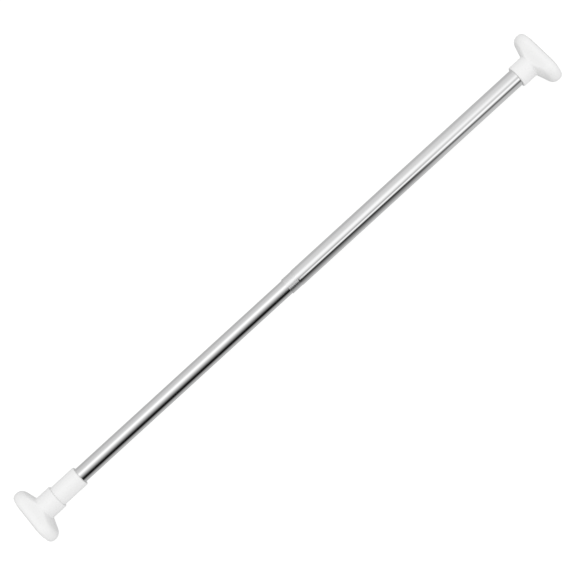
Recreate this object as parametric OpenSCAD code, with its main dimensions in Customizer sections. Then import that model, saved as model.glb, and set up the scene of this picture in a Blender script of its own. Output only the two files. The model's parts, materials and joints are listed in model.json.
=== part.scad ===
// Telescopic door security bar.
// The origin is the middle of the fixed pad's wall face. +X runs along the bar to the adjusting end,
// Y is the long way of the feet, and Z is up with the bar lying on the flat sides of its feet.

/* [Bar] */
// Length between the two pad faces, with the jack wound in
bar_length = 914; // [905:1:916]
// Place of the outer tube's open end, from the fixed pad's face
outer_end_x = 456.8; // [450:0.1:460]
// Outer tube diameter
outer_od = 25; // [24.8:0.1:25.2]
// Inner tube diameter
inner_od = 22; // [21.9:0.1:22.1]
// Wall of both tubes
tube_wall = 0.8; // [0.7:0.05:0.8]
// Diameter of the rolled-in neck at the outer tube's end
crimp_od = 24; // [24:0.1:24.2]
// Length of the rolled-in neck
crimp_length = 18.4; // [16:0.2:20]

/* [Feet] */
// Long side of a foot
foot_long = 82; // [78:1:84]
// Short side of a foot
foot_short = 42; // [40:1:46]
// Height of the foot's head, from the pad's face to where its back meets the neck
foot_height = 26.5; // [26:0.1:27]
// Slope of the wings' backs, from the pad's plane, in degrees
wing_slope = 18; // [16:0.5:20]
// Thickness of a pad
pad_thick = 2.4; // [2:0.1:2.6]
// How far a pad stands out of its foot
pad_proud = 1.2; // [1:0.1:1.4]
// Long side of a pad
pad_long = 66; // [62:1:68]
// Short side of a pad
pad_short = 28; // [26:1:29]

/* [Fixed end] */
// Outer diameter of the fixed foot's sleeve
sleeve_od = 31.6; // [31:0.1:32]
// Place of the sleeve's rim, from the pad's face
sleeve_rim = 47; // [43:0.5:49]

/* [Adjusting end] */
// Outer diameter of the adjusting foot's neck
neck_od = 34; // [33.6:0.1:35]
// Place of the neck's rim, from the adjusting pad's face
neck_rim = 47.6; // [46:0.1:48]
// Outer diameter of the jack collar
collar_od = 29.3; // [29:0.1:29.4]
// Place of the collar's rim, from the adjusting pad's face
collar_rim = 88; // [85:0.5:90]
// Thread diameter of the jack screw
jack_od = 10; // [9.8:0.1:10]
// Thread lead of the jack screw
jack_lead = 4; // [3:0.5:4]
// Width across the jack screw's two flats
jack_flats = 8.4; // [8:0.1:8.6]

/* [Twist lock] */
// Overlap of the two tubes as set
tube_overlap = 46.8; // [44:0.2:50]
// Diameter of the lock's stud
stud_od = 8; // [7:0.5:8]
// Thread pitch of the lock's stud
stud_pitch = 1.5; // [1.5:0.25:2]

/* [Hidden] */
$fn = 96;

// Gap on the radius of the running fits, and a small overlap for clean cuts
running = 0.05;
eps = 0.05;

// Foot outline, seen from above: a rounded front edge, a shoulder, a sloping back and a fillet
foot_front = pad_proud;
front_depth = 6.4;
front_inset = 4.5;
shoulder_r = 10;
shoulder_x = 9.3;
fillet_r = 2.6;
side_taper_start = 8;
side_taper_end = foot_height - 2.5;
ring_points = 64;
front_rings = 7;
shoulder_rings = 8;
slope_rings = 5;
fillet_rings = 5;
foot_wall = 3;
seat_gap = 0.1;
pocket_floor = 9;
rib = 2;
rib_y = 22;
hub_od = 24;
pad_step = 0.5;
neck_seat = foot_height - 8;

// Fixed end
plug_x = 12;
plug_flange = 1.5;
plug_length = 24;
screw_od = 4.8;
screw_head_od = 9.5;
screw_head_h = 3;
screw_length = 23;
screw_tip = 2;
recess_long = 4.4;
recess_wide = 1;
recess_deep = 1.8;
plug_hole_d = 4;
plug_hole_r = 8;
plug_end_wall = 4;
washer_od = 14;
washer_h = 1;
washer_hole = 5.3;

// Tubes
outer_id = outer_od - 2 * tube_wall;
inner_id = inner_od - 2 * tube_wall;
crimp_id = inner_od + 0.5;
crimp_x = outer_end_x - crimp_length;
crimp_step = 1.6;
rim_round = 0.4;
outer_start = plug_x + plug_flange;
inner_start = outer_end_x - tube_overlap;
bush_length = 13;

// Twist lock, from the stud's tip to the inner tube's end
plug_flange_x = inner_start - 3;
expander_end = plug_flange_x - 0.3;
expander_length = 20;
expander_start = expander_end - expander_length;
expander_web = 3.5;
expander_od = outer_id - 2 * running;
taper_mouth = 18;
taper_throat = 12.4;
slot_w = 1.6;
key_w = slot_w - 0.3;
cone_length = 15;
cone_start = expander_start - 7;
cone_collar = 5;
cone_travel = 3;
clip_h = 0.9;
clip_x = cone_start - cone_travel - clip_h - 0.4;
stud_tip = clip_x - 1.6;
stud_seat = 15;
stud_thread_end = expander_start + 10;
cone_collar_od = 21;
taper_gap = 2 * running + 0.1;
plug_seat = 20;
pin_d = 3;
thread_depth = 0.6;

// Jack, from the inner tube's end to the adjusting pad
inner_end = bar_length - 64;
guide_length = 22;
guide_flange = 2;
guide_neck_od = 15;
guide_neck_end = inner_end + guide_flange + 7;
groove_od = 13.4;
thrust_h = 1;
web_h = 4;
collar_web_x = inner_end + guide_flange + thrust_h + 0.1;
clip_od = 18.2;
clip_seat = collar_web_x + web_h + 0.15;
nut_af = 19;
nut_h = 14;
nut_x = collar_web_x + web_h + 4;
step_d = 18.6;
cup_gap = 0.3;
cup_floor = bar_length - 19;
collar_end = cup_floor - 1;
jack_end = cup_floor + 3;
jack_tail = inner_end - 35;
jack_thread_depth = 0.9;
jack_seat_depth = 13;
jack_screw_hole = 5;
rivet_x = inner_end - 12;
rivet_foot = 6.5;
rivet_top = inner_od / 2 - 0.2;
rivet_hole_top = inner_od / 2 + 0.5;
adjust_screw_length = 16;

// A solid of revolution about the bar's axis, from points given as [radius, x]
module lathe(points) {
    rotate([0, 90, 0]) rotate_extrude() polygon(points);
}

// A round bar along X
module rod(x0, x1, d) {
    translate([x0, 0, 0]) rotate([0, 90, 0]) cylinder(h = x1 - x0, d = d);
}

// A tube along X
module pipe(x0, x1, od, id) {
    difference() {
        rod(x0, x1, od);
        rod(x0 - 1, x1 + 1, id);
    }
}

// A threaded rod along X, with its thread drawn as ring grooves
module threaded(x0, x1, d, pitch, depth) {
    turns = floor((x1 - x0 - 1) / pitch);
    first = x1 - turns * pitch;
    grooves = [
        for (i = [0 : turns - 1]) let (x = first + i * pitch)
            each [[d / 2, x + 0.1 * pitch], [d / 2 - depth, x + 0.45 * pitch],
                  [d / 2 - depth, x + 0.55 * pitch], [d / 2, x + 0.9 * pitch]]
    ];
    lathe(concat([[0, x0], [d / 2 - depth, x0], [d / 2, x0 + depth]], grooves, [[d / 2, x1], [0, x1]]));
}

// A round-ended flat outline of the given full sizes, lying across the bar and extruded along X
module slab(x0, x1, long_side, short_side) {
    translate([x0, 0, 0]) rotate([0, 90, 0]) linear_extrude(x1 - x0) {
        square([short_side, long_side - short_side], center = true);
        for (side = [-1, 1]) {
            translate([0, side * (long_side - short_side) / 2]) circle(d = short_side);
        }
    }
}

// Half of the foot's short side at distance d from the pad's face
function half_short(d, neck_r) =
    let (u = min(1, max(0, (d - side_taper_start) / (side_taper_end - side_taper_start))))
    neck_r + (foot_short / 2 - neck_r) * (0.5 + 0.5 * cos(180 * u));

// The foot's rings, each [distance from the pad's face, half long side, half short side]
function foot_rings(neck_r) =
    let (
        long = foot_long / 2,
        short = foot_short / 2,
        turn = 90 - wing_slope,
        slope_start = [shoulder_x + shoulder_r * sin(turn), long - shoulder_r * (1 - cos(turn))],
        fillet_y = neck_r + fillet_r,
        fillet_touch = fillet_y - fillet_r * cos(turn),
        slope_run = (slope_start[1] - fillet_touch) / cos(wing_slope),
        fillet_x = slope_start[0] + slope_run * sin(wing_slope) + fillet_r * sin(turn),
        front = [
            for (i = [0 : front_rings]) let (a = 90 * i / front_rings)
                [foot_front + front_depth * (1 - cos(a)), long - front_inset * (1 - sin(a)),
                 short - front_inset * (1 - sin(a))]
        ],
        shoulder = [
            for (i = [0 : shoulder_rings])
                let (a = turn * i / shoulder_rings, d = shoulder_x + shoulder_r * sin(a))
                [d, long - shoulder_r * (1 - cos(a)), half_short(d, neck_r)]
        ],
        slope = [
            for (i = [1 : slope_rings - 1])
                let (t = slope_run * i / slope_rings, d = slope_start[0] + t * sin(wing_slope))
                [d, slope_start[1] - t * cos(wing_slope), half_short(d, neck_r)]
        ],
        fillet = [
            for (i = [0 : fillet_rings])
                let (a = turn * (1 - i / fillet_rings), d = fillet_x - fillet_r * sin(a))
                [d, fillet_y - fillet_r * cos(a), half_short(d, neck_r)]
        ]
    )
    concat(front, shoulder, slope, fillet);

// One ring's points: a round-ended outline
function ring_outline(d, long, short) = [
    for (k = [0 : ring_points - 1])
        let (a = 360 * (k + 0.5) / ring_points, r = min(short, long - eps))
        [d, sign(cos(a)) * (long - r) + r * cos(a), r * sin(a) / cos(180 / ring_points)]
];

// The foot's outer form, from the pad's seat to the neck
module foot_form(neck_r) {
    rings = foot_rings(neck_r);
    n = ring_points;
    last = len(rings) - 1;
    points = [for (ring = rings) each ring_outline(ring[0], ring[1], ring[2])];
    walls = [
        for (j = [0 : last - 1], k = [0 : n - 1])
            let (p = j * n + k, q = j * n + (k + 1) % n)
            each [[p, p + n, q], [q, p + n, q + n]]
    ];
    ends = [[for (k = [0 : n - 1]) k], [for (k = [n - 1 : -1 : 0]) last * n + k]];
    polyhedron(points, concat(ends, walls));
}

// The hollow behind the pad, open to the face, with a hub and ribs left standing in it
module foot_pocket() {
    slab(-1, pad_thick, pad_long + 2 * seat_gap, pad_short + 2 * seat_gap);
    difference() {
        slab(pad_thick - eps, pocket_floor, pad_long - 2 * foot_wall, pad_short - foot_wall);
        difference() {
            union() {
                rod(pad_thick, pocket_floor + 1, hub_od);
                for (y = [-rib_y, rib_y]) {
                    translate([pad_thick, y - rib / 2, -pad_short / 2]) {
                        cube([pocket_floor, rib, pad_short]);
                    }
                }
                translate([pad_thick, -pad_long / 2, -rib / 2]) cube([pocket_floor, pad_long, rib]);
            }
            rod(pad_thick - 1, pocket_floor + 2, hub_od - 2 * foot_wall);
        }
    }
}

// Places a part of the adjusting end that is drawn from its pad's face inward
module at_far_end() {
    translate([bar_length, 0, 0]) mirror([1, 0, 0]) children();
}

// A pan-head screw pointing along +X, with a cross recess in its head
module pan_screw(x, d, head_d, head_h, length) {
    difference() {
        union() {
            lathe([[0, x], [head_d / 2 - 1.2, x], [head_d / 2 - 0.3, x + 0.8], [head_d / 2, x + 1.8],
                   [head_d / 2, x + head_h], [0, x + head_h]]);
            rod(x + head_h - eps, x + head_h + length - screw_tip, d);
            translate([x + head_h + length - screw_tip, 0, 0]) rotate([0, 90, 0]) {
                cylinder(h = screw_tip, d1 = d, d2 = 1.5);
            }
        }
        for (turn = [0, 90]) {
            rotate([turn, 0, 0]) translate([x - 1, -recess_long / 2, -recess_wide / 2]) {
                cube([recess_deep + 1, recess_long, recess_wide]);
            }
        }
    }
}

module pad() {
    slab(pad_step, pad_thick, pad_long, pad_short);
    slab(0, pad_step + eps, pad_long - 2 * pad_step, pad_short - 2 * pad_step);
}

module outer_tube() {
    color("silver") difference() {
        lathe([
            [0, outer_start], [outer_od / 2, outer_start], [outer_od / 2, crimp_x - rim_round],
            [outer_od / 2 - 0.1, crimp_x], [crimp_od / 2, crimp_x + crimp_step],
            [crimp_od / 2, outer_end_x - rim_round], [crimp_od / 2 - rim_round, outer_end_x],
            [0, outer_end_x]
        ]);
        rod(outer_start - 1, crimp_x - 0.6, outer_id);
        translate([crimp_x - 0.6 - eps, 0, 0]) rotate([0, 90, 0]) {
            cylinder(h = crimp_step, d1 = outer_id, d2 = crimp_id);
        }
        rod(crimp_x, outer_end_x + 1, crimp_id);
    }
}

module guide_bush() {
    color("ivory") difference() {
        rod(crimp_x - 0.8 - bush_length, crimp_x - 0.8, outer_id);
        rod(crimp_x - 2 - bush_length, crimp_x + 1, inner_od + 2 * running);
    }
}

module fixed_end_plug() {
    color("ivory") difference() {
        union() {
            rod(plug_x, plug_x + plug_flange, outer_od);
            rod(plug_x, plug_x + plug_length, outer_id);
        }
        rod(plug_x - 1, plug_x + plug_length - plug_end_wall, screw_od);
        for (turn = [0 : 60 : 300]) {
            rotate([turn, 0, 0]) translate([plug_x + plug_flange + plug_end_wall, plug_hole_r, 0]) {
                rotate([0, 90, 0]) cylinder(h = plug_length, d = plug_hole_d);
            }
        }
    }
}

module fixed_foot() {
    color("white") difference() {
        union() {
            foot_form(sleeve_od / 2 - eps);
            lathe([
                [0, neck_seat], [sleeve_od / 2, neck_seat], [sleeve_od / 2, sleeve_rim - 1.5],
                [sleeve_od / 2 - 0.4, sleeve_rim - 0.4], [sleeve_od / 2 - 1.5, sleeve_rim], [0, sleeve_rim]
            ]);
        }
        foot_pocket();
        rod(plug_x, sleeve_rim + 1, outer_od);
        rod(pocket_floor - 1, plug_x + 1, washer_hole);
    }
}

module fixed_foot_screw() {
    color("gray") pan_screw(pocket_floor - washer_h - screw_head_h, screw_od, screw_head_od,
                            screw_head_h, screw_length);
}

module fixed_foot_washer() {
    color("gray") pipe(pocket_floor - washer_h, pocket_floor, washer_od, washer_hole);
}

module fixed_pad() {
    color("gainsboro") pad();
}

module lock_expander() {
    color("ivory") difference() {
        rod(expander_start, expander_end, expander_od);
        translate([expander_start - eps, 0, 0]) rotate([0, 90, 0]) {
            cylinder(h = expander_length - expander_web, d1 = taper_mouth, d2 = taper_throat);
        }
        rod(expander_start, expander_end + 1, stud_od + 2 * running);
        for (turn = [0, 90]) {
            rotate([turn, 0, 0]) translate([expander_start - 1, -outer_od / 2, -slot_w / 2]) {
                cube([expander_length - expander_web, outer_od, slot_w]);
            }
        }
    }
}

module lock_cone_nut() {
    // The nose follows the expander's taper a little inside it, and its keys ride in the slots
    taper = (taper_mouth - taper_throat) / (expander_length - expander_web);
    nose = cone_start + cone_length - expander_start;
    color("darkgray") difference() {
        union() {
            rod(cone_start, cone_start + cone_collar, cone_collar_od);
            rod(cone_start, expander_start + eps, taper_mouth - taper_gap);
            translate([expander_start, 0, 0]) rotate([0, 90, 0]) {
                cylinder(h = nose, d1 = taper_mouth - taper_gap, d2 = taper_mouth - taper * nose - taper_gap);
            }
            for (turn = [0, 90]) {
                rotate([turn, 0, 0]) translate([cone_start, -cone_collar_od / 2, -key_w / 2]) {
                    cube([cone_length - 3, cone_collar_od, key_w]);
                }
            }
        }
        rod(cone_start - 1, cone_start + cone_length + 1, stud_od + 2 * running);
    }
}

module inner_tube() {
    color("silver") difference() {
        pipe(inner_start, inner_end, inner_od, inner_id);
        translate([inner_start + plug_seat / 2, 0, 0]) cylinder(h = outer_od, d = pin_d, center = true);
        translate([rivet_x, 0, 0]) cylinder(h = outer_od, d = pin_d, center = true);
    }
}

module lock_plug() {
    color("darkgray") difference() {
        union() {
            rod(plug_flange_x, inner_start, inner_od);
            rod(plug_flange_x, inner_start + plug_seat, inner_id);
        }
        rod(plug_flange_x - 1, inner_start + stud_seat, stud_od);
        translate([inner_start + plug_seat / 2, 0, 0]) cylinder(h = outer_od, d = pin_d, center = true);
    }
}

module lock_stud() {
    color("gray") difference() {
        union() {
            threaded(stud_tip, stud_thread_end, stud_od, stud_pitch, thread_depth);
            rod(stud_thread_end - eps, inner_start + stud_seat, stud_od);
        }
        pipe(clip_x, clip_x + clip_h, stud_od + 2, stud_od - 1.8);
        translate([inner_start + plug_seat / 2, 0, 0]) cylinder(h = outer_od, d = pin_d, center = true);
    }
}

module lock_pin() {
    color("gray") translate([inner_start + plug_seat / 2, 0, 0]) {
        cylinder(h = inner_od - 0.4, d = pin_d, center = true);
    }
}

// A snap ring in a groove, open on one side
module snap_ring(x, h, od, id, gap) {
    difference() {
        pipe(x, x + h, od, id);
        translate([x - 1, -gap / 2, 0]) cube([h + 2, gap, od]);
    }
}

module stud_clip() {
    color("dimgray") snap_ring(clip_x, clip_h, stud_od + 5, stud_od - 1.8, 4);
}

// A round bar along X with a flat above and below
module flatted_rod(x0, x1, d, flats) {
    intersection() {
        rod(x0, x1, d);
        translate([x0, -d, -flats / 2]) cube([x1 - x0, 2 * d, flats]);
    }
}

module jack_guide() {
    color("ivory") difference() {
        union() {
            rod(inner_end - guide_length, inner_end, inner_id);
            rod(inner_end, inner_end + guide_flange, inner_od);
            rod(inner_end, guide_neck_end, guide_neck_od);
        }
        flatted_rod(inner_end - guide_length - 1, guide_neck_end + 1,
                    jack_od + 2 * running, jack_flats + 2 * running);
        pipe(clip_seat, clip_seat + clip_h, guide_neck_od + 2, groove_od);
        for (side = [-1, 1]) {
            translate([rivet_x, 0, side * (rivet_foot + rivet_hole_top) / 2]) {
                cylinder(h = rivet_hole_top - rivet_foot, d = pin_d, center = true);
            }
        }
    }
}

module guide_rivets() {
    color("gray") for (side = [-1, 1]) {
        translate([rivet_x, 0, side * (rivet_foot + rivet_top) / 2]) {
            cylinder(h = rivet_top - rivet_foot, d = pin_d, center = true);
        }
    }
}

module thrust_washer() {
    color("goldenrod") pipe(inner_end + guide_flange, inner_end + guide_flange + thrust_h,
                            inner_od - 0.4, guide_neck_od + 0.2);
}

module collar_clip() {
    color("dimgray") snap_ring(clip_seat, clip_h, clip_od, groove_od, 6);
}

module jack_collar() {
    rim = bar_length - collar_rim;
    color("white") difference() {
        lathe([
            [0, rim], [collar_od / 2 - 1.4, rim], [collar_od / 2 - 0.4, rim + 0.4],
            [collar_od / 2, rim + 1.4], [collar_od / 2, collar_end - 0.8],
            [collar_od / 2 - 0.8, collar_end], [0, collar_end]
        ]);
        rod(rim - 1, collar_web_x, inner_od + 0.5);
        rod(collar_web_x - 1, collar_web_x + web_h + 1, guide_neck_od + 2 * running);
        rod(collar_web_x + web_h, nut_x + eps, step_d);
        translate([nut_x, 0, 0]) rotate([0, 90, 0]) cylinder(h = 100, d = nut_af / cos(30), $fn = 6);
    }
}

module jack_nut() {
    color("goldenrod") difference() {
        translate([nut_x, 0, 0]) rotate([0, 90, 0]) cylinder(h = nut_h, d = nut_af / cos(30), $fn = 6);
        rod(nut_x - 1, nut_x + nut_h + 1, jack_od + 2 * running);
    }
}

module jack_screw() {
    color("gray") difference() {
        intersection() {
            union() {
                threaded(jack_tail, cup_floor - 3, jack_od, jack_lead / 2, jack_thread_depth);
                rod(cup_floor - 3 - eps, jack_end, jack_od);
            }
            flatted_rod(jack_tail - 1, jack_end + 1, 2 * jack_od, jack_flats);
        }
        rod(jack_end - 18, jack_end + 1, jack_screw_hole);
    }
}

module adjust_foot() {
    color("white") difference() {
        union() {
            at_far_end() foot_form(neck_od / 2 - eps);
            at_far_end() lathe([
                [0, neck_seat], [neck_od / 2, neck_seat], [neck_od / 2, neck_rim - 1.3],
                [neck_od / 2 - 0.4, neck_rim - 0.4], [neck_od / 2 - 1.3, neck_rim], [0, neck_rim]
            ]);
        }
        at_far_end() foot_pocket();
        rod(bar_length - neck_rim - 1, cup_floor, collar_od + 2 * cup_gap);
        flatted_rod(cup_floor - 1, jack_end, jack_od, jack_flats);
        rod(cup_floor, bar_length - 1, washer_hole);
        at_far_end() rod(0, jack_seat_depth, washer_od + 0.6);
    }
}

module adjust_foot_screw() {
    color("gray") at_far_end() pan_screw(jack_seat_depth - washer_h - screw_head_h, jack_screw_hole,
                                         screw_head_od, screw_head_h, adjust_screw_length);
}

module adjust_foot_washer() {
    color("gray") at_far_end() pipe(jack_seat_depth - washer_h, jack_seat_depth, washer_od, washer_hole);
}

module adjust_pad() {
    color("gainsboro") at_far_end() pad();
}

outer_tube();
guide_bush();
fixed_end_plug();
fixed_foot();
fixed_foot_screw();
fixed_foot_washer();
fixed_pad();
lock_expander();
lock_cone_nut();
inner_tube();
lock_plug();
lock_stud();
lock_pin();
stud_clip();
jack_guide();
guide_rivets();
thrust_washer();
collar_clip();
jack_collar();
jack_nut();
jack_screw();
adjust_foot();
adjust_foot_screw();
adjust_foot_washer();
adjust_pad();
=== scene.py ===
"""Looks of the telescopic door security bar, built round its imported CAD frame."""

import json
import math

import bmesh
import bpy
from mathutils import Matrix, Vector


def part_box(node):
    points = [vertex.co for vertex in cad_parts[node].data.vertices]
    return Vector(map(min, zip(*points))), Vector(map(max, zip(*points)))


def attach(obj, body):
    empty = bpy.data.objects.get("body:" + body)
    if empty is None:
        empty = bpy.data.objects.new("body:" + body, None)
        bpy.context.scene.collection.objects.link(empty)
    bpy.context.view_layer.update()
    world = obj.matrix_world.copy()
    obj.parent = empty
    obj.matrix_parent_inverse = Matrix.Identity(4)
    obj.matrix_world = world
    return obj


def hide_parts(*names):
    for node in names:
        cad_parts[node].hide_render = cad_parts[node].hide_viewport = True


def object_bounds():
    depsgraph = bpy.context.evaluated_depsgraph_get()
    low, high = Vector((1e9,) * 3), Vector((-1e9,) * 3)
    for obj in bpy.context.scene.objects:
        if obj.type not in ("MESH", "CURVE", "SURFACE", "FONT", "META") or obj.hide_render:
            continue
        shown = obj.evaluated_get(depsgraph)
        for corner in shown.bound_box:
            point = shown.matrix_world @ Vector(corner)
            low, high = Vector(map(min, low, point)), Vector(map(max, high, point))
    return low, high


MM = 0.001
RING = 128

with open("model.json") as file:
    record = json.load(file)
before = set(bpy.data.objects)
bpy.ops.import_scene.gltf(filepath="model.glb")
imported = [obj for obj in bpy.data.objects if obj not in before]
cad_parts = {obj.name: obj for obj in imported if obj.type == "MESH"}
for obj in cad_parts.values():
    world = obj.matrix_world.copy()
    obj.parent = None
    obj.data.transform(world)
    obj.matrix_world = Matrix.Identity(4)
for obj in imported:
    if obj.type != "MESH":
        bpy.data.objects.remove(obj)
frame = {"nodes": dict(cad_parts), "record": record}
cad_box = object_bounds()


# ---------------------------------------------------------------- sizes from the frame

def span(node, axis=0):
    """Lowest and highest place of a CAD node along one axis, in millimetres."""
    low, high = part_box(node)
    return low[axis] / MM, high[axis] / MM


BAR_LENGTH = span("adjust_pad")[1]
OUTER_START, OUTER_END = span("outer_tube")
OUTER_R = span("outer_tube", 1)[1]
INNER_START, INNER_END = span("inner_tube")
INNER_R = span("inner_tube", 1)[1]
TUBE_WALL = 0.8
SLIP_GAP = 0.25
CRIMP_R = 12.0
CRIMP_LENGTH = 18.4
CRIMP_STEP = 1.6
CRIMP_BORE_LEAD = 0.6
CRIMP_START = OUTER_END - CRIMP_LENGTH

FOOT_LONG = span("fixed_foot", 1)[1]
FOOT_SHORT = span("fixed_foot", 2)[1]
FOOT_FRONT = span("fixed_foot")[0]
FOOT_HEIGHT = 26.5
PAD_THICK = span("fixed_pad")[1]
PAD_LONG = span("fixed_pad", 1)[1]
PAD_SHORT = span("fixed_pad", 2)[1]
POCKET_FLOOR = span("fixed_foot_washer")[1]
FOOT_WALL = 3.0
SEAT_GAP = 0.1
NECK_START = FOOT_HEIGHT + 1.0
SCREW_HOLE_R = 2.65
SLEEVE_RIM = span("fixed_foot")[1]
SLEEVE_R = 15.8
PLUG_START = span("fixed_end_plug")[0]

NECK_RIM = BAR_LENGTH - span("adjust_foot")[0]
NECK_R = 17.0
CUP_R = 14.95
CUP_FLOOR = 19.0
SCREW_SEAT = BAR_LENGTH - span("adjust_foot_washer")[0]
SCREW_SEAT_R = 7.3

COLLAR_START, COLLAR_END = span("jack_collar")
COLLAR_R = span("jack_collar", 1)[1]
LIP_R = COLLAR_R + 0.08
LIP_DEPTH = 3.0
LIP_STEP = 0.2
NUT_START = span("jack_nut")[0]
NUT_FLATS_R = 9.5
NUT_SEAT_R = NUT_FLATS_R - 0.2
MOUTH_R = NUT_FLATS_R + 2.4
MOUTH_FLOOR_R = NUT_FLATS_R + 1.4
MOUTH_FLOOR = COLLAR_END - 1.0
HEXAGON_END = COLLAR_END - 1.2
COLLAR_BORE_R = INNER_R + SLIP_GAP
GUIDE_FLANGE_END = INNER_END + 2.0
COLLAR_WEB = GUIDE_FLANGE_END + 1.1
COLLAR_WEB_END = COLLAR_WEB + 4.0
WEB_BORE_R = 7.55


# ---------------------------------------------------------------- mesh building

def corner(before, at, after, radius, steps=7):
    """Points of an arc that rounds the corner at `at` between two neighbours, in 2D."""
    a, b, c = Vector(before), Vector(at), Vector(after)
    u, v = (a - b).normalized(), (c - b).normalized()
    half = u.angle(v) / 2
    reach = min(radius / math.tan(half), 0.49 * (a - b).length, 0.49 * (c - b).length)
    radius = reach * math.tan(half)
    centre = b + (u + v).normalized() * (radius / math.sin(half))
    start, end = b + u * reach - centre, b + v * reach - centre
    turn = start.angle_signed(end)
    points = []
    for i in range(steps + 1):
        t = -turn * i / steps
        x = start.x * math.cos(t) - start.y * math.sin(t)
        y = start.x * math.sin(t) + start.y * math.cos(t)
        points.append(centre + Vector((x, y)))
    return points


def rounded(points, closed=True, support=0.25):
    """An outline from [x, radius, rounding] corners, each rounding backed by a point just outside it."""
    out = []
    n = len(points)
    for i, (x, r, rounding) in enumerate(points):
        before, after = points[i - 1], points[(i + 1) % n]
        open_end = not closed and i in (0, n - 1)
        if rounding <= 0 or open_end:
            out.append((x, r))
            continue
        arc = corner(before[:2], (x, r), after[:2], rounding)
        first, last = arc[0], arc[-1]
        lead = Vector(before[:2]) - first
        tail = Vector(after[:2]) - last
        if lead.length > 3 * support:
            out.append(tuple(first + lead.normalized() * support))
        out += [tuple(p) for p in arc]
        if tail.length > 3 * support:
            out.append(tuple(last + tail.normalized() * support))
    return out


def outline(x, long, short):
    """One ring across the bar: a round-ended outline, or a circle where long and short agree."""
    r = min(long, short)
    ring = []
    for k in range(RING):
        a = 2 * math.pi * (k + 0.5) / RING
        shift = math.copysign(long - r, math.cos(a))
        ring.append((x, shift + r * math.cos(a), r * math.sin(a)))
    return ring


def hexagon(x, flat_r):
    """One ring in the shape of a hexagon with two of its corners above and below the axis."""
    ring = []
    for k in range(RING):
        a = 2 * math.pi * (k + 0.5) / RING
        off = ((a + math.pi / 6) % (math.pi / 3)) - math.pi / 6
        r = flat_r / math.cos(off)
        ring.append((x, r * math.cos(a), r * math.sin(a)))
    return ring


def skin(name, rings, closed=True):
    """A mesh object through rings of points. Closed joins the last ring to the first."""
    n = len(rings[0])
    verts = [Vector(p) * MM for ring in rings for p in ring]
    faces = []
    pairs = len(rings) if closed else len(rings) - 1
    for j in range(pairs):
        a, b = j * n, ((j + 1) % len(rings)) * n
        for k in range(n):
            m = (k + 1) % n
            faces.append((a + k, a + m, b + m, b + k))
    if not closed:
        faces.append(tuple(range(n - 1, -1, -1)))
        faces.append(tuple((len(rings) - 1) * n + k for k in range(n)))
    mesh = bpy.data.meshes.new(name)
    mesh.from_pydata(verts, [], faces)
    mesh.validate()
    outward(mesh)
    mesh.shade_smooth()
    obj = bpy.data.objects.new(name, mesh)
    bpy.context.scene.collection.objects.link(obj)
    return obj


def outward(mesh):
    """Turns every face to look out of the solid."""
    bm = bmesh.new()
    bm.from_mesh(mesh)
    bmesh.ops.recalc_face_normals(bm, faces=bm.faces)
    bm.to_mesh(mesh)
    bm.free()


def lathe(name, corners):
    """A solid of revolution about the bar's axis from [x, radius, rounding] corners in order."""
    return skin(name, [outline(x, r, r) for x, r in rounded(corners)])


def from_far_end(rings):
    """Rings measured from the adjusting pad's face, turned round to lie at that end of the bar."""
    return [[(BAR_LENGTH - x, y, z) for x, y, z in ring] for ring in rings]


def dress(obj, material, body, node):
    """Gives a piece its material and body, and hides the CAD node that it stands for."""
    obj.data.materials.append(material)
    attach(obj, body)
    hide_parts(node)


# ---------------------------------------------------------------- materials

# Most of a noise's values lie between these
NOISE_LOW = 0.3
NOISE_HIGH = 0.7


def new_material(name):
    """An empty node material with its node tree and Principled shader."""
    mat = bpy.data.materials.new(name)
    mat.use_nodes = True
    tree = mat.node_tree
    return mat, tree, tree.nodes["Principled BSDF"]


def noise_on(tree, stretch, scale, detail=3.0):
    """Noise over the object's own coordinates, stretched by a scale along each axis."""
    coords = tree.nodes.new("ShaderNodeTexCoord")
    mapping = tree.nodes.new("ShaderNodeMapping")
    mapping.inputs["Scale"].default_value = stretch
    noise = tree.nodes.new("ShaderNodeTexNoise")
    noise.inputs["Scale"].default_value = scale
    noise.inputs["Detail"].default_value = detail
    tree.links.new(coords.outputs["Object"], mapping.inputs["Vector"])
    tree.links.new(mapping.outputs["Vector"], noise.inputs["Vector"])
    return noise.outputs["Fac"]


def ranged(tree, source, low, high, from_low=NOISE_LOW, from_high=NOISE_HIGH):
    """Maps a value from one range, that of noise unless said, onto another."""
    node = tree.nodes.new("ShaderNodeMapRange")
    node.inputs["From Min"].default_value = from_low
    node.inputs["From Max"].default_value = from_high
    node.inputs["To Min"].default_value = low
    node.inputs["To Max"].default_value = high
    tree.links.new(source, node.inputs["Value"])
    return node.outputs["Result"]


def tinted(tree, shader, source, dark, light):
    """Gives a shader a base colour that varies between two tones with a noise value."""
    ramp = tree.nodes.new("ShaderNodeValToRGB")
    ramp.color_ramp.elements[0].position = NOISE_LOW
    ramp.color_ramp.elements[1].position = NOISE_HIGH
    ramp.color_ramp.elements[0].color = (*dark, 1)
    ramp.color_ramp.elements[1].color = (*light, 1)
    tree.links.new(source, ramp.inputs["Fac"])
    tree.links.new(ramp.outputs["Color"], shader.inputs["Base Color"])


def bumped(tree, shader, source, strength, distance):
    """Fine relief from a noise value."""
    bump = tree.nodes.new("ShaderNodeBump")
    bump.inputs["Strength"].default_value = strength
    bump.inputs["Distance"].default_value = distance
    tree.links.new(source, bump.inputs["Height"])
    tree.links.new(bump.outputs["Normal"], shader.inputs["Normal"])


METAL_TONE_STRETCH = (0.4, 1, 1)
METAL_TONE_SCALE = 18
METAL_RELIEF = 0.00005
PLASTIC_TONE_SCALE = 25
PLASTIC_RELIEF = 0.0001
EVEN = (1, 1, 1)


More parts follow.
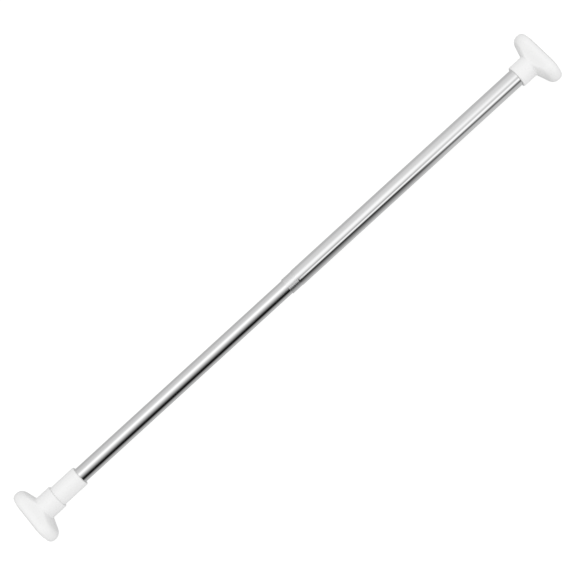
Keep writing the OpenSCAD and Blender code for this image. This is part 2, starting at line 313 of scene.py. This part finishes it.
def make_metal(name, dark, light, rough, stretch, scale, strength):
    """A metal with a soft tone change, uneven polish and a grain of a stretch, scale and strength."""
    mat, tree, shader = new_material(name)
    shader.inputs["Metallic"].default_value = 1.0
    tone = noise_on(tree, METAL_TONE_STRETCH, METAL_TONE_SCALE)
    tinted(tree, shader, tone, dark, light)
    grain = noise_on(tree, stretch, scale, 4)
    tree.links.new(ranged(tree, grain, *rough), shader.inputs["Roughness"])
    bumped(tree, shader, grain, strength, METAL_RELIEF)
    return mat


def dull_beyond(mat, x, extra, ease=0.5):
    """Takes polish off a metal beyond x along the bar, where it was rolled. x and ease in millimetres."""
    tree = mat.node_tree
    rough_input = tree.nodes["Principled BSDF"].inputs["Roughness"]
    polish = rough_input.links[0].from_socket
    coords = tree.nodes.new("ShaderNodeTexCoord")
    split = tree.nodes.new("ShaderNodeSeparateXYZ")
    tree.links.new(coords.outputs["Object"], split.inputs["Vector"])
    total = tree.nodes.new("ShaderNodeMath")
    tree.links.new(polish, total.inputs[0])
    step = ranged(tree, split.outputs["X"], 0.0, extra, (x - ease) * MM, (x + ease) * MM)
    tree.links.new(step, total.inputs[1])
    tree.links.new(total.outputs["Value"], rough_input)
    return mat


def make_plastic(name, dark, light, rough, scale, strength, specular=0.5):
    """A moulded plastic, barely uneven, with relief of a scale and strength."""
    mat, tree, shader = new_material(name)
    shader.inputs["Specular IOR Level"].default_value = specular
    tone = noise_on(tree, EVEN, PLASTIC_TONE_SCALE)
    tinted(tree, shader, tone, dark, light)
    relief = noise_on(tree, EVEN, scale, 2)
    tree.links.new(ranged(tree, relief, *rough), shader.inputs["Roughness"])
    bumped(tree, shader, relief, strength, PLASTIC_RELIEF)
    return mat


BRIGHT = {
    "dark": (0.79, 0.79, 0.792), "light": (0.81, 0.81, 0.81), "rough": (0.03, 0.06),
    "stretch": (2, 60, 60), "scale": 40, "strength": 0.015,
}
NECK_DULLNESS = 0.18
STAINLESS = make_metal("stainless", **BRIGHT)
NECKED = dull_beyond(make_metal("stainless_necked", **BRIGHT), CRIMP_START, NECK_DULLNESS)
ZINC = make_metal(
    "zinc_steel", dark=(0.52, 0.54, 0.57), light=(0.66, 0.67, 0.68), rough=(0.25, 0.4),
    stretch=EVEN, scale=900, strength=0.08)
SPRING = make_metal(
    "spring_steel", dark=(0.10, 0.10, 0.11), light=(0.16, 0.16, 0.17), rough=(0.3, 0.45),
    stretch=EVEN, scale=700, strength=0.08)
DIE_CAST = make_metal(
    "die_cast", dark=(0.50, 0.50, 0.51), light=(0.62, 0.62, 0.63), rough=(0.38, 0.55),
    stretch=EVEN, scale=1200, strength=0.25)
BRASS = make_metal(
    "brass", dark=(0.68, 0.48, 0.20), light=(0.78, 0.58, 0.27), rough=(0.2, 0.34),
    stretch=(40, 1, 1), scale=60, strength=0.08)
WHITE = make_plastic(
    "white_abs", dark=(0.845, 0.845, 0.845), light=(0.86, 0.86, 0.858), rough=(0.26, 0.33),
    scale=320, strength=0.02)
NYLON = make_plastic(
    "nylon", dark=(0.76, 0.73, 0.63), light=(0.82, 0.79, 0.70), rough=(0.42, 0.55),
    scale=500, strength=0.12)
RUBBER = make_plastic(
    "pad_rubber", dark=(0.62, 0.62, 0.61), light=(0.69, 0.69, 0.675), rough=(0.72, 0.88),
    scale=1100, strength=0.7, specular=0.3)


# ---------------------------------------------------------------- tubes

def outer_tube():
    """The outer tube with its rolled-in neck, as one wall from the outside to the bore."""
    bore = OUTER_R - TUBE_WALL
    neck_bore = INNER_R + SLIP_GAP
    bore_step = CRIMP_START - CRIMP_BORE_LEAD
    return lathe("outer_tube_skin", [
        (OUTER_START, OUTER_R, 0.2),
        (CRIMP_START, OUTER_R, 0.9),
        (CRIMP_START + CRIMP_STEP, CRIMP_R, 0.9),
        (OUTER_END, CRIMP_R, 0.35),
        (OUTER_END, neck_bore, 0.2),
        (bore_step + CRIMP_STEP, neck_bore, 0.5),
        (bore_step, bore, 0.5),
        (OUTER_START, bore, 0.2),
    ])


def inner_tube():
    """The plain inner tube."""
    bore = INNER_R - TUBE_WALL
    return lathe("inner_tube_skin", [
        (INNER_START, INNER_R, 0.2),
        (INNER_END, INNER_R, 0.2),
        (INNER_END, bore, 0.2),
        (INNER_START, bore, 0.2),
    ])


# ---------------------------------------------------------------- feet

SLOPE = math.radians(18)
FRONT_DEPTH = 6.4
FRONT_INSET = 4.5
SHOULDER_R = 10.0
SHOULDER_X = 9.3
FILLET_R = 2.6
SIDE_TAPER_START = 8.0
SIDE_TAPER_END = FOOT_HEIGHT - 2.5
ARC_STEPS = 14


def half_short(d, neck_r):
    """Half of the foot's short side at a distance from the pad's face."""
    u = min(1.0, max(0.0, (d - SIDE_TAPER_START) / (SIDE_TAPER_END - SIDE_TAPER_START)))
    return neck_r + (FOOT_SHORT - neck_r) * (0.5 + 0.5 * math.cos(math.pi * u))


def foot_form(neck_r):
    """Rows from the face's edge to the neck: distance from the pad's face, half long side, half short."""
    turn = math.pi / 2 - SLOPE
    slope_x = SHOULDER_X + SHOULDER_R * math.sin(turn)
    slope_y = FOOT_LONG - SHOULDER_R * (1 - math.cos(turn))
    fillet_y = neck_r + FILLET_R
    run = (slope_y - (fillet_y - FILLET_R * math.cos(turn))) / math.cos(SLOPE)
    fillet_x = slope_x + run * math.sin(SLOPE) + FILLET_R * math.sin(turn)
    rows = []
    for i in range(ARC_STEPS + 1):
        a = math.pi / 2 * i / ARC_STEPS
        d = FOOT_FRONT + FRONT_DEPTH * (1 - math.cos(a))
        inset = FRONT_INSET * (1 - math.sin(a))
        rows.append((d, FOOT_LONG - inset, FOOT_SHORT - inset))
    for i in range(ARC_STEPS + 1):
        a = turn * i / ARC_STEPS
        d = SHOULDER_X + SHOULDER_R * math.sin(a)
        rows.append((d, FOOT_LONG - SHOULDER_R * (1 - math.cos(a)), half_short(d, neck_r)))
    for i in range(1, ARC_STEPS):
        t = run * i / ARC_STEPS
        d = slope_x + t * math.sin(SLOPE)
        rows.append((d, slope_y - t * math.cos(SLOPE), half_short(d, neck_r)))
    for i in range(ARC_STEPS + 1):
        a = turn * (1 - i / ARC_STEPS)
        d = fillet_x - FILLET_R * math.sin(a)
        rows.append((d, fillet_y - FILLET_R * math.cos(a), max(neck_r, half_short(d, neck_r))))
    return rows


def foot_front():
    """The face side of a foot from the pocket's floor out to the face's edge, with its corners eased."""
    pocket_long = PAD_LONG - FOOT_WALL
    pocket_short = PAD_SHORT - FOOT_WALL / 2
    seat_long = PAD_LONG + SEAT_GAP
    seat_short = PAD_SHORT + SEAT_GAP
    return [
        (POCKET_FLOOR, pocket_long - 0.4, pocket_short - 0.4),
        (POCKET_FLOOR - 0.4, pocket_long, pocket_short),
        (PAD_THICK + 0.2, pocket_long, pocket_short),
        (PAD_THICK, pocket_long + 0.2, pocket_short + 0.2),
        (PAD_THICK, seat_long - 0.1, seat_short - 0.1),
        (PAD_THICK - 0.1, seat_long, seat_short),
        (FOOT_FRONT + 0.15, seat_long, seat_short),
        (FOOT_FRONT, seat_long + 0.15, seat_short + 0.15),
    ]


def fixed_foot():
    """The foot with a short sleeve for the outer tube."""
    rows = foot_front() + foot_form(SLEEVE_R)
    sleeve = rounded([
        (NECK_START, SLEEVE_R, 0),
        (SLEEVE_RIM, SLEEVE_R, 1.3),
        (SLEEVE_RIM, OUTER_R, 0.3),
        (PLUG_START, OUTER_R, 0.2),
        (PLUG_START, SCREW_HOLE_R, 0.2),
        (POCKET_FLOOR, SCREW_HOLE_R, 0),
    ], closed=False)
    rings = [outline(*row) for row in rows] + [outline(x, r, r) for x, r in sleeve]
    return skin("fixed_foot_skin", rings)


def adjust_foot():
    """The foot with a wide neck that takes in the collar's end."""
    rows = foot_front() + foot_form(NECK_R)
    neck = rounded([
        (NECK_START, NECK_R, 0),
        (NECK_RIM, NECK_R, 1.9),
        (NECK_RIM, LIP_R, 0.1),
        (NECK_RIM - LIP_DEPTH, LIP_R, 0.1),
        (NECK_RIM - LIP_DEPTH - LIP_STEP, CUP_R, 0.1),
        (CUP_FLOOR, CUP_R, 0.5),
        (CUP_FLOOR, SCREW_HOLE_R, 0.2),
        (SCREW_SEAT, SCREW_HOLE_R, 0.2),
        (SCREW_SEAT, SCREW_SEAT_R, 0.2),
        (POCKET_FLOOR, SCREW_SEAT_R, 0),
    ], closed=False)
    rings = [outline(*row) for row in rows] + [outline(x, r, r) for x, r in neck]
    return skin("adjust_foot_skin", from_far_end(rings))


PAD_CHAMFER = 0.3
PAD_ROUNDING = 0.9
PAD_STEPS = 8
PAD_FLAT_INSET = PAD_ROUNDING + 0.4


def pad_rings():
    """A rubber pad from its back, through a rounded edge, to its flat face."""
    rows = [
        (PAD_THICK, PAD_LONG - PAD_CHAMFER, PAD_SHORT - PAD_CHAMFER),
        (PAD_THICK - PAD_CHAMFER, PAD_LONG, PAD_SHORT),
    ]
    for i in range(PAD_STEPS + 1):
        a = math.pi / 2 * i / PAD_STEPS
        inset = PAD_ROUNDING * (1 - math.cos(a))
        rows.append((PAD_ROUNDING * (1 - math.sin(a)), PAD_LONG - inset, PAD_SHORT - inset))
    rows.append((0.0, PAD_LONG - PAD_FLAT_INSET, PAD_SHORT - PAD_FLAT_INSET))
    return [outline(*row) for row in rows]


def fixed_pad():
    return skin("fixed_pad_skin", pad_rings(), closed=False)


def adjust_pad():
    return skin("adjust_pad_skin", from_far_end(pad_rings()), closed=False)


# ---------------------------------------------------------------- jack collar

def jack_collar():
    """The round collar, with a hexagon seat for the nut and a web that turns on the guide's neck."""
    outer = rounded([
        (COLLAR_WEB, COLLAR_BORE_R, 0.2),
        (COLLAR_START, COLLAR_BORE_R, 0.4),
        (COLLAR_START, COLLAR_R, 1.2),
        (COLLAR_END, COLLAR_R, 0.8),
        (COLLAR_END, MOUTH_R, 0.3),
        (MOUTH_FLOOR, MOUTH_FLOOR_R, 0),
    ], closed=False)
    rings = [outline(x, r, r) for x, r in outer]
    rings += [hexagon(HEXAGON_END, NUT_FLATS_R), hexagon(NUT_START, NUT_FLATS_R)]
    web = rounded([
        (NUT_START, NUT_SEAT_R, 0.1),
        (COLLAR_WEB_END, NUT_SEAT_R, 0.2),
        (COLLAR_WEB_END, WEB_BORE_R, 0.2),
        (COLLAR_WEB, WEB_BORE_R, 0),
    ], closed=False)
    rings += [outline(x, r, r) for x, r in web]
    return skin("jack_collar_skin", rings)


# ---------------------------------------------------------------- pieces and carried-over CAD nodes

PIECES = [
    (outer_tube(), NECKED, "outer", "stainless", "outer_tube"),
    (inner_tube(), STAINLESS, "inner", "stainless", "inner_tube"),
    (fixed_foot(), WHITE, "outer", "white_abs", "fixed_foot"),
    (adjust_foot(), WHITE, "adjust_end", "white_abs", "adjust_foot"),
    (fixed_pad(), RUBBER, "outer", "pad_rubber", "fixed_pad"),
    (adjust_pad(), RUBBER, "adjust_end", "pad_rubber", "adjust_pad"),
    (jack_collar(), WHITE, "collar", "white_abs", "jack_collar"),
]
for piece, material, body, slot_name, node in PIECES:
    dress(piece, material, body, node)

SLOT_MATERIALS = {
    "stainless": STAINLESS, "white_abs": WHITE, "pad_rubber": RUBBER, "nylon": NYLON,
    "zinc_steel": ZINC, "spring_steel": SPRING, "die_cast": DIE_CAST, "brass": BRASS,
}
for part in frame["record"]["subparts"]:
    node = frame["nodes"][part["node"]]
    for holder in node.material_slots:
        holder.material = SLOT_MATERIALS[part["material_slot"]]


# ---------------------------------------------------------------- floor, light and camera

FLOOR_Z = cad_box[0][2]
FLOOR_HALF = 4.0
FLOOR_GLOW = 0.86
FLOOR_TONE_SCALE = 6


def pale_floor():
    """A plain white light table: a translucent sheet lit from below, so that shadows on it stay faint."""
    mesh = bpy.data.meshes.new("floor")
    corners = [(-1, -1), (1, -1), (1, 1), (-1, 1)]
    mesh.from_pydata([(x * FLOOR_HALF, y * FLOOR_HALF, FLOOR_Z) for x, y in corners], [], [(0, 1, 2, 3)])
    floor = bpy.data.objects.new("floor", mesh)
    bpy.context.scene.collection.objects.link(floor)
    mat, tree, shader = new_material("floor_acrylic")
    shader.inputs["Roughness"].default_value = 0.9
    shader.inputs["Specular IOR Level"].default_value = 0.1
    shader.inputs["Emission Color"].default_value = (1, 1, 1, 1)
    shader.inputs["Emission Strength"].default_value = FLOOR_GLOW
    tone = noise_on(tree, EVEN, FLOOR_TONE_SCALE)
    tinted(tree, shader, tone, (0.21, 0.21, 0.21), (0.23, 0.23, 0.23))
    mesh.materials.append(mat)
    floor.visible_glossy = False
    floor.visible_diffuse = False


# Brightness of the light tent by elevation round the bar, in degrees from the +Y horizon over the top, in
# three stretches: round the outer tube's far half, its near half, and the neck and inner tube. The levels
# aren't those of a plain studio. They were worked out from the photograph's brightness across the tubes,
# and this is an open fault.
TENT_FAR = [
    # from below up to the dark band at the +Y horizon
    (-90, 0.68), (-18, 0.62), (-3, 0.22), (4, 0.15), (11, 0.20),
    # bright band above that horizon
    (24, 1.00), (30, 1.22), (37, 1.28), (56, 0.68),
    # overhead, then down the -Y side
    (82, 1.18), (118, 0.84), (145, 0.79), (177, 0.61), (270, 0.56),
]
TENT_OUTER = [
    # from below up to the dark band at the +Y horizon
    (-90, 0.60), (-57, 0.60), (-18, 0.33), (-3, 0.17), (11, 0.03), (18, 0.04), (23, 0.18),
    # bright band above that horizon
    (34, 1.24), (40, 1.16), (46, 0.76), (53, 0.48),
    # overhead, then down the -Y side
    (71, 1.03), (82, 1.21), (94, 1.18), (118, 0.83), (160, 0.72), (177, 0.59), (270, 0.55),
]
TENT_INNER = [
    # from below up to the wider dark band at the +Y horizon
    (-90, 0.56), (-57, 0.56), (-35, 0.49), (-18, 0.29), (-5, 0.04), (4, 0.0), (14, 0.0), (24, 0.05),
    # overhead, fading towards the dark band
    (36, 0.22), (60, 0.67), (80, 1.15), (88, 1.32), (96, 1.32), (114, 0.91),
    # down the -Y side
    (131, 0.74), (160, 0.69), (177, 0.57), (270, 0.54),
]
TENT_BLUE = 1.003
# Where one stretch of the tent gives way to the next, as the reflected direction's slope along the bar. The
# places were set for the photograph's camera, so the changes slide along the tubes in other views.
FAR_CHANGE = (-0.13, -0.085)
NECK_CHANGE = (-0.0095, -0.0065)
# Brightness of the soft light that falls on matt surfaces: from beside the bar, how much more of it comes
# from above, and how much of it is missing beyond the bar's ends. SOFT_LEAN leans it to +Y.
SOFT_LEVEL = 0.96
SOFT_TOP_GAIN = 0.31
SOFT_END_LOSS = 0.42
SOFT_LEAN = math.radians(19)


def tent_ramp(tree, stops, factor):
    """One stretch of the tent, a touch cool. The factor runs from 0 at -90 degrees to 1 at 270."""
    ramp = tree.nodes.new("ShaderNodeValToRGB")
    ramp.color_ramp.interpolation = "LINEAR"
    elements = ramp.color_ramp.elements
    while len(elements) > 1:
        elements.remove(elements[-1])
    for i, (angle, level) in enumerate(stops):
        place = (angle + 90) / 360
        stop = elements[0] if i == 0 else elements.new(place)
        stop.position = place
        stop.color = (level, level, level * TENT_BLUE, 1)
    tree.links.new(factor, ramp.inputs["Fac"])
    return ramp.outputs["Color"]


def light_tent():
    """The world: the tent for glossy rays, white for camera rays, soft light from above for the rest."""
    world = bpy.data.worlds.new("light_tent")
    bpy.context.scene.world = world
    world.use_nodes = True
    tree = world.node_tree
    background = tree.nodes["Background"]

    def math_node(operation, *values):
        node = tree.nodes.new("ShaderNodeMath")
        node.operation = operation
        for socket, value in zip(node.inputs, values):
            if isinstance(value, (int, float)):
                socket.default_value = value
            else:
                tree.links.new(value, socket)
        return node.outputs[0]

    def mixed(share, a, b):
        mix = tree.nodes.new("ShaderNodeMix")
        mix.data_type = "RGBA"
        tree.links.new(share, mix.inputs["Factor"])
        tree.links.new(a, mix.inputs["A"])
        tree.links.new(b, mix.inputs["B"])
        return mix.outputs["Result"]

    coords = tree.nodes.new("ShaderNodeTexCoord")
    split = tree.nodes.new("ShaderNodeSeparateXYZ")
    tree.links.new(coords.outputs["Generated"], split.inputs["Vector"])
    x, y, z = (split.outputs[axis] for axis in "XYZ")

    def blend(change, before, after):
        side = tree.nodes.new("ShaderNodeMapRange")
        side.interpolation_type = "SMOOTHSTEP"
        side.inputs["From Min"].default_value = change[0]
        side.inputs["From Max"].default_value = change[1]
        tree.links.new(x, side.inputs["Value"])
        return mixed(side.outputs["Result"], before, after)

    around = math_node("ARCTAN2", math_node("MULTIPLY", y, -1.0), z)
    factor = math_node("MULTIPLY_ADD", around, 1 / (2 * math.pi), 0.5)
    far = tent_ramp(tree, TENT_FAR, factor)
    outer = tent_ramp(tree, TENT_OUTER, factor)
    inner = tent_ramp(tree, TENT_INNER, factor)
    tent = blend(NECK_CHANGE, blend(FAR_CHANGE, far, outer), inner)

    level = math_node("MULTIPLY_ADD", math_node("MULTIPLY", x, x), -SOFT_END_LOSS, SOFT_LEVEL)
    from_top = math_node("MULTIPLY", z, SOFT_TOP_GAIN * math.cos(SOFT_LEAN))
    from_lean = math_node("MULTIPLY", y, SOFT_TOP_GAIN * math.sin(SOFT_LEAN))
    soft = math_node("ADD", level, math_node("ADD", from_top, from_lean))

    ray = tree.nodes.new("ShaderNodeLightPath")
    white = tree.nodes.new("ShaderNodeRGB")
    white.outputs[0].default_value = (1, 1, 1, 1)
    lit = mixed(ray.outputs["Is Glossy Ray"], soft, tent)
    backdrop = mixed(ray.outputs["Is Camera Ray"], lit, white.outputs[0])
    tree.links.new(backdrop, background.inputs["Color"])


# The camera looks at a point AIM_X along the bar and AIM_ACROSS beside its axis, in millimetres, from
# CAMERA_DISTANCE metres away, tilted from straight above by CAMERA_TILT. CAMERA_REACH is in metres too.
CAMERA_DISTANCE = 2.288
CAMERA_TILT = math.radians(19)
CAMERA_LENS = 108.4
CAMERA_SENSOR = 36
CAMERA_REACH = 50
BAR_RISE = math.radians(42.41)
AIM_X = 456.9
AIM_ACROSS = 1.95


def make_camera():
    """A camera square to the bar, rolled so that the bar rises to the right at BAR_RISE."""
    along = Vector((1, 0, 0))
    across = Vector((0, math.cos(CAMERA_TILT), -math.sin(CAMERA_TILT)))
    back = along.cross(across)
    right = -math.cos(BAR_RISE) * along + math.sin(BAR_RISE) * across
    up = -math.sin(BAR_RISE) * along - math.cos(BAR_RISE) * across
    aim = (along * AIM_X + across * AIM_ACROSS) * MM
    place = aim + back * CAMERA_DISTANCE
    data = bpy.data.cameras.new("camera")
    data.lens = CAMERA_LENS
    data.sensor_width = CAMERA_SENSOR
    data.clip_end = CAMERA_REACH
    camera = bpy.data.objects.new("camera", data)
    turn = Matrix((right, up, back)).transposed().to_4x4()
    camera.matrix_world = Matrix.Translation(place) @ turn
    bpy.context.scene.collection.objects.link(camera)
    bpy.context.scene.camera = camera


pale_floor()
light_tent()
make_camera()
bpy.context.scene.view_settings.view_transform = "Standard"
